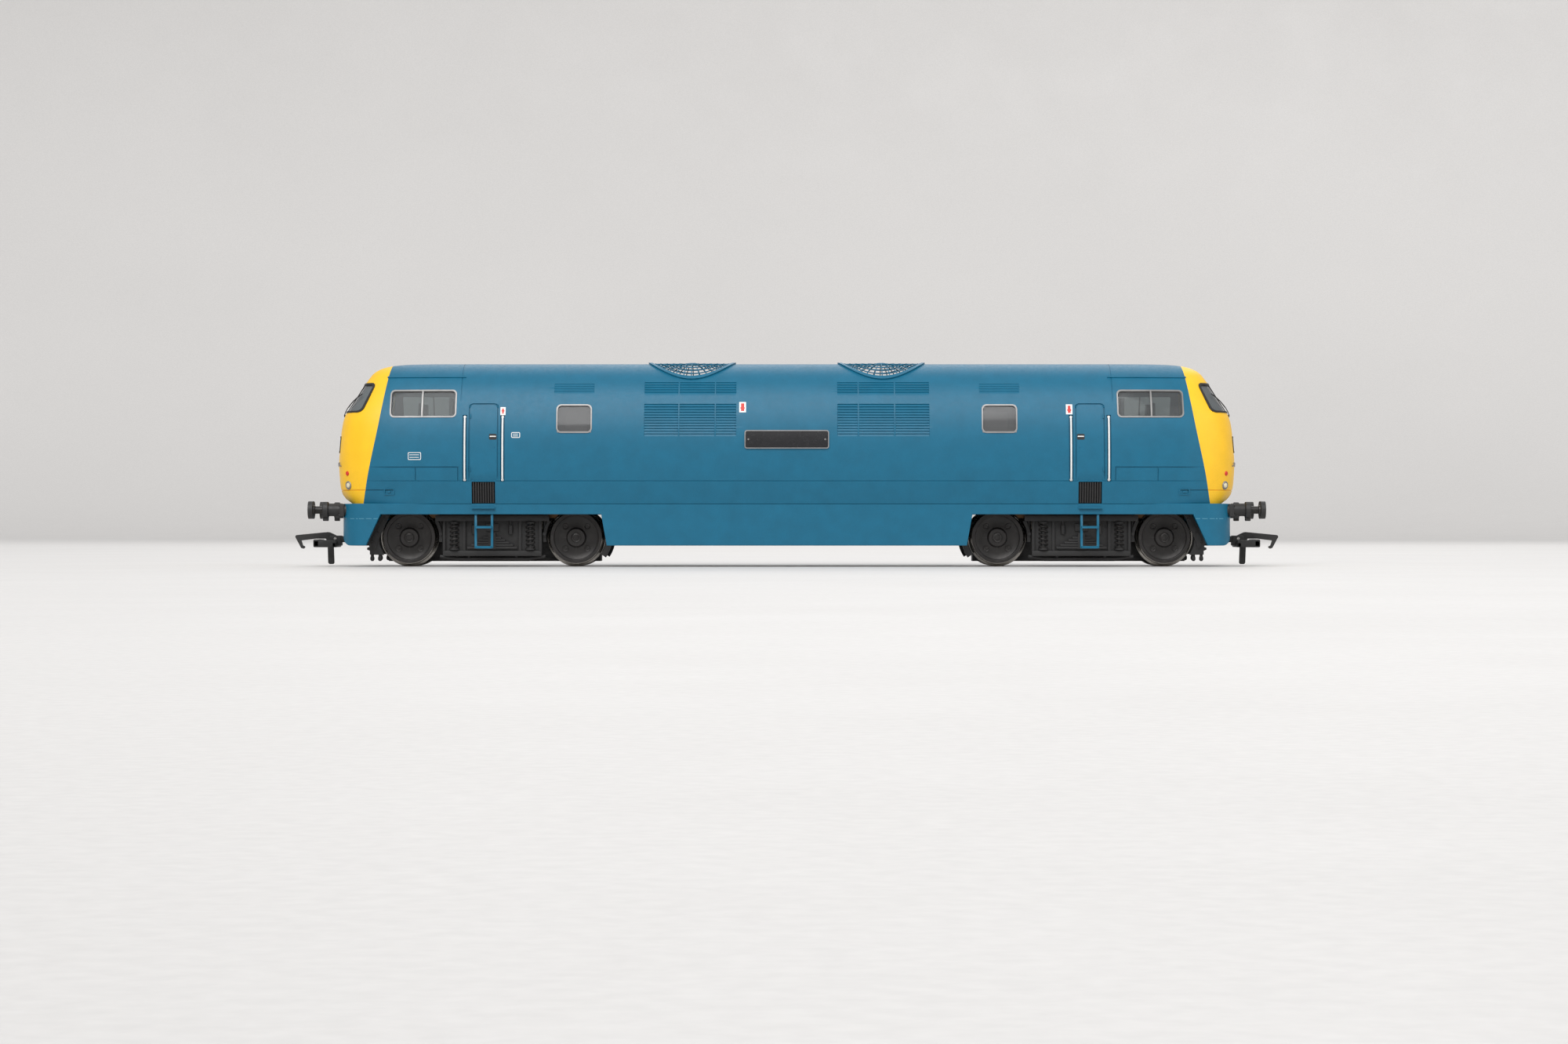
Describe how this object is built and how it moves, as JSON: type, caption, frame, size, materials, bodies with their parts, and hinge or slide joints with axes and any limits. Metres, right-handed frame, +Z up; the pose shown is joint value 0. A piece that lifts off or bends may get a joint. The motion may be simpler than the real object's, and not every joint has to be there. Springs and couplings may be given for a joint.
{
  "type": "toy train locomotive",
  "caption": "Scale-model twin-cab diesel locomotive with two gear-driven swivelling bogies, sprung buffers and hook couplings, blue with yellow ends.",
  "frame": {"origin": "on the track centre line midway along the body, at the lowest point of the wheel flanges", "axes": "+X along the locomotive towards end B, +Y across it, +Z up"},
  "size_m": [0.25, 0.0356, 0.0518],
  "materials": {
    "body_shell": "satin rail blue paint on moulded plastic, yellow ends",
    "cab_glazing": "clear moulded plastic",
    "side_window_panes": "clear moulded plastic",
    "side_window_frames": "silver printed frame",
    "fan_grilles": "satin blue paint",
    "roof_fans": "matt black",
    "handrails": "white painted wire",
    "door_ladders": "satin blue paint",
    "nameplates": "matt black",
    "lamp_lenses": "clear moulded lens",
    "headcode_panels": "matt black",
    "cab_interiors": "grey moulding",
    "valance": "satin rail blue paint on moulded plastic, yellow ends",
    "buffer_beams": "satin rail blue paint on moulded plastic, yellow ends",
    "buffer_housings": "matt black",
    "chassis_block": "blackened die-cast zinc",
    "underframe_tanks": "matt black",
    "motor_case": "bright steel",
    "motor_end_caps": "ivory nylon",
    "circuit_board": "green solder resist",
    "screws": "blackened steel",
    "motor_shaft": "bright steel",
    "armature": "lacquered laminations and copper wire",
    "flywheels": "turned brass",
    "cardan_a": "white acetal",
    "cardan_b": "white acetal",
    "bogie_frame_a": "matt black moulding",
    "bogie_keeper_a": "matt black moulding",
    "bogie_sides_a": "matt black moulding",
    "worm_cover_a": "matt black moulding",
    "pickups_a": "phosphor bronze strip",
    "worm_a": "turned brass",
    "drive_gear_a": "ivory acetal",
    "idler_outer_a": "ivory acetal",
    "axle_outer_a": "steel axle with a pressed-on acetal gear",
    "wheels_outer_a": "blackened wheel with a bright tread",
    "idler_inner_a": "ivory acetal",
    "axle_inner_a": "steel axle with a pressed-on acetal gear",
    "wheels_inner_a": "blackened wheel with a bright tread",
    "coupling_bar_a": "matt black nylon",
    "coupling_hook_a": "matt black nylon",
    "buffer_head_a_left": "blackened metal",
    "buffer_head_a_right": "blackened metal",
    "bogie_frame_b": "matt black moulding",
    "bogie_keeper_b": "matt black moulding",
    "bogie_sides_b": "matt black moulding",
    "worm_cover_b": "matt black moulding",
    "pickups_b": "phosphor bronze strip",
    "worm_b": "turned brass",
    "drive_gear_b": "ivory acetal",
    "idler_outer_b": "ivory acetal",
    "axle_outer_b": "steel axle with a pressed-on acetal gear",
    "wheels_outer_b": "blackened wheel with a bright tread",
    "idler_inner_b": "ivory acetal",
    "axle_inner_b": "steel axle with a pressed-on acetal gear",
    "wheels_inner_b": "blackened wheel with a bright tread",
    "coupling_bar_b": "matt black nylon",
    "coupling_hook_b": "matt black nylon",
    "buffer_head_b_left": "blackened metal",
    "buffer_head_b_right": "blackened metal"
  },
  "bodies": {
    "locomotive_body": {"body_shell": "body_shell", "cab_glazing": "cab_glazing", "side_window_panes": "side_window_panes", "side_window_frames": "side_window_frames", "fan_grilles": "fan_grilles", "roof_fans": "roof_fans", "handrails": "handrails", "door_ladders": "door_ladders", "nameplates": "nameplates", "lamp_lenses": "lamp_lenses", "headcode_panels": "headcode_panels", "cab_interiors": "cab_interiors", "valance": "valance", "buffer_beams": "buffer_beams", "buffer_housings": "buffer_housings", "chassis_block": "chassis_block", "underframe_tanks": "underframe_tanks", "motor_case": "motor_case", "motor_end_caps": "motor_end_caps", "circuit_board": "circuit_board", "screws": "screws"},
    "motor_rotor": {"motor_shaft": "motor_shaft", "armature": "armature", "flywheels": "flywheels"},
    "drive_shaft_a": {"cardan_a": "cardan_a"},
    "drive_shaft_b": {"cardan_b": "cardan_b"},
    "bogie_a": {"bogie_frame_a": "bogie_frame_a", "bogie_keeper_a": "bogie_keeper_a", "bogie_sides_a": "bogie_sides_a", "worm_cover_a": "worm_cover_a", "pickups_a": "pickups_a"},
    "worm_a": {"worm_a": "worm_a"},
    "drive_gear_a": {"drive_gear_a": "drive_gear_a"},
    "idler_outer_a": {"idler_outer_a": "idler_outer_a"},
    "wheelset_outer_a": {"axle_outer_a": "axle_outer_a", "wheels_outer_a": "wheels_outer_a"},
    "idler_inner_a": {"idler_inner_a": "idler_inner_a"},
    "wheelset_inner_a": {"axle_inner_a": "axle_inner_a", "wheels_inner_a": "wheels_inner_a"},
    "coupling_a": {"coupling_bar_a": "coupling_bar_a"},
    "hook_a": {"coupling_hook_a": "coupling_hook_a"},
    "buffer_head_a_left": {"buffer_head_a_left": "buffer_head_a_left"},
    "buffer_head_a_right": {"buffer_head_a_right": "buffer_head_a_right"},
    "bogie_b": {"bogie_frame_b": "bogie_frame_b", "bogie_keeper_b": "bogie_keeper_b", "bogie_sides_b": "bogie_sides_b", "worm_cover_b": "worm_cover_b", "pickups_b": "pickups_b"},
    "worm_b": {"worm_b": "worm_b"},
    "drive_gear_b": {"drive_gear_b": "drive_gear_b"},
    "idler_outer_b": {"idler_outer_b": "idler_outer_b"},
    "wheelset_outer_b": {"axle_outer_b": "axle_outer_b", "wheels_outer_b": "wheels_outer_b"},
    "idler_inner_b": {"idler_inner_b": "idler_inner_b"},
    "wheelset_inner_b": {"axle_inner_b": "axle_inner_b", "wheels_inner_b": "wheels_inner_b"},
    "coupling_b": {"coupling_bar_b": "coupling_bar_b"},
    "hook_b": {"coupling_hook_b": "coupling_hook_b"},
    "buffer_head_b_left": {"buffer_head_b_left": "buffer_head_b_left"},
    "buffer_head_b_right": {"buffer_head_b_right": "buffer_head_b_right"}
  },
  "joints": [
    {"name": "motor_spin", "type": "hinge", "parent": "locomotive_body", "child": "motor_rotor", "pos_m": [0, 0, 0.0208], "axis": [1, 0, 0], "continuous": true},
    {"name": "drive_shaft_a_spin", "type": "hinge", "parent": "locomotive_body", "child": "drive_shaft_a", "pos_m": [-0.04, 0, 0.0208], "axis": [1, 0, 0], "continuous": true},
    {"name": "bogie_a_swivel", "type": "hinge", "parent": "locomotive_body", "child": "bogie_a", "pos_m": [-0.074, 0, 0.018], "axis": [0, 0, 1], "range_deg": [-8, 8]},
    {"name": "worm_a_spin", "type": "hinge", "parent": "bogie_a", "child": "worm_a", "pos_m": [-0.074, 0, 0.0208], "axis": [1, 0, 0], "continuous": true},
    {"name": "drive_gear_a_spin", "type": "hinge", "parent": "bogie_a", "child": "drive_gear_a", "pos_m": [-0.074, 0, 0.01], "axis": [0, 1, 0], "continuous": true},
    {"name": "idler_outer_a_spin", "type": "hinge", "parent": "bogie_a", "child": "idler_outer_a", "pos_m": [-0.0865, 0, 0.01025], "axis": [0, 1, 0], "continuous": true},
    {"name": "wheelset_outer_a_spin", "type": "hinge", "parent": "bogie_a", "child": "wheelset_outer_a", "pos_m": [-0.095, 0, 0.0073], "axis": [0, 1, 0], "continuous": true},
    {"name": "idler_inner_a_spin", "type": "hinge", "parent": "bogie_a", "child": "idler_inner_a", "pos_m": [-0.0615, 0, 0.01025], "axis": [0, 1, 0], "continuous": true},
    {"name": "wheelset_inner_a_spin", "type": "hinge", "parent": "bogie_a", "child": "wheelset_inner_a", "pos_m": [-0.053, 0, 0.0073], "axis": [0, 1, 0], "continuous": true},
    {"name": "coupling_a_swing", "type": "hinge", "parent": "bogie_a", "child": "coupling_a", "pos_m": [-0.108, 0, 0.0068], "axis": [0, 0, 1], "range_deg": [-10, 10]},
    {"name": "hook_a_lift", "type": "hinge", "parent": "coupling_a", "child": "hook_a", "pos_m": [-0.1147, 0, 0.007], "axis": [0, 1, 0], "range_deg": [0, 18]},
    {"name": "buffer_a_left_slide", "type": "slide", "parent": "locomotive_body", "child": "buffer_head_a_left", "axis": [1, 0, 0], "range_m": [0, 0.0016], "stiffness_N_per_m": 150},
    {"name": "buffer_a_right_slide", "type": "slide", "parent": "locomotive_body", "child": "buffer_head_a_right", "axis": [1, 0, 0], "range_m": [0, 0.0016], "stiffness_N_per_m": 150},
    {"name": "drive_shaft_b_spin", "type": "hinge", "parent": "locomotive_body", "child": "drive_shaft_b", "pos_m": [0.04, 0, 0.0208], "axis": [1, 0, 0], "continuous": true},
    {"name": "bogie_b_swivel", "type": "hinge", "parent": "locomotive_body", "child": "bogie_b", "pos_m": [0.074, 0, 0.018], "axis": [0, 0, 1], "range_deg": [-8, 8]},
    {"name": "worm_b_spin", "type": "hinge", "parent": "bogie_b", "child": "worm_b", "pos_m": [0.074, 0, 0.0208], "axis": [1, 0, 0], "continuous": true},
    {"name": "drive_gear_b_spin", "type": "hinge", "parent": "bogie_b", "child": "drive_gear_b", "pos_m": [0.074, 0, 0.01], "axis": [0, 1, 0], "continuous": true},
    {"name": "idler_outer_b_spin", "type": "hinge", "parent": "bogie_b", "child": "idler_outer_b", "pos_m": [0.0865, 0, 0.01025], "axis": [0, 1, 0], "continuous": true},
    {"name": "wheelset_outer_b_spin", "type": "hinge", "parent": "bogie_b", "child": "wheelset_outer_b", "pos_m": [0.095, 0, 0.0073], "axis": [0, 1, 0], "continuous": true},
    {"name": "idler_inner_b_spin", "type": "hinge", "parent": "bogie_b", "child": "idler_inner_b", "pos_m": [0.0615, 0, 0.01025], "axis": [0, 1, 0], "continuous": true},
    {"name": "wheelset_inner_b_spin", "type": "hinge", "parent": "bogie_b", "child": "wheelset_inner_b", "pos_m": [0.053, 0, 0.0073], "axis": [0, 1, 0], "continuous": true},
    {"name": "coupling_b_swing", "type": "hinge", "parent": "bogie_b", "child": "coupling_b", "pos_m": [0.108, 0, 0.0068], "axis": [0, 0, 1], "range_deg": [-10, 10]},
    {"name": "hook_b_lift", "type": "hinge", "parent": "coupling_b", "child": "hook_b", "pos_m": [0.1147, 0, 0.007], "axis": [0, -1, 0], "range_deg": [0, 18]},
    {"name": "buffer_b_left_slide", "type": "slide", "parent": "locomotive_body", "child": "buffer_head_b_left", "axis": [-1, 0, 0], "range_m": [0, 0.0016], "stiffness_N_per_m": 150},
    {"name": "buffer_b_right_slide", "type": "slide", "parent": "locomotive_body", "child": "buffer_head_b_right", "axis": [-1, 0, 0], "range_m": [0, 0.0016], "stiffness_N_per_m": 150}
  ],
  "couplings": [
    {"joint": "drive_shaft_a_spin", "follows": "motor_spin", "ratio": 1},
    {"joint": "worm_a_spin", "follows": "motor_spin", "ratio": 1},
    {"joint": "drive_gear_a_spin", "follows": "motor_spin", "ratio": -0.033333},
    {"joint": "idler_outer_a_spin", "follows": "motor_spin", "ratio": 0.05},
    {"joint": "wheelset_outer_a_spin", "follows": "motor_spin", "ratio": -0.0625},
    {"joint": "idler_inner_a_spin", "follows": "motor_spin", "ratio": 0.05},
    {"joint": "wheelset_inner_a_spin", "follows": "motor_spin", "ratio": -0.0625},
    {"joint": "drive_shaft_b_spin", "follows": "motor_spin", "ratio": 1},
    {"joint": "worm_b_spin", "follows": "motor_spin", "ratio": 1},
    {"joint": "drive_gear_b_spin", "follows": "motor_spin", "ratio": -0.033333},
    {"joint": "idler_outer_b_spin", "follows": "motor_spin", "ratio": 0.05},
    {"joint": "wheelset_outer_b_spin", "follows": "motor_spin", "ratio": -0.0625},
    {"joint": "idler_inner_b_spin", "follows": "motor_spin", "ratio": 0.05},
    {"joint": "wheelset_inner_b_spin", "follows": "motor_spin", "ratio": -0.0625}
  ]
}
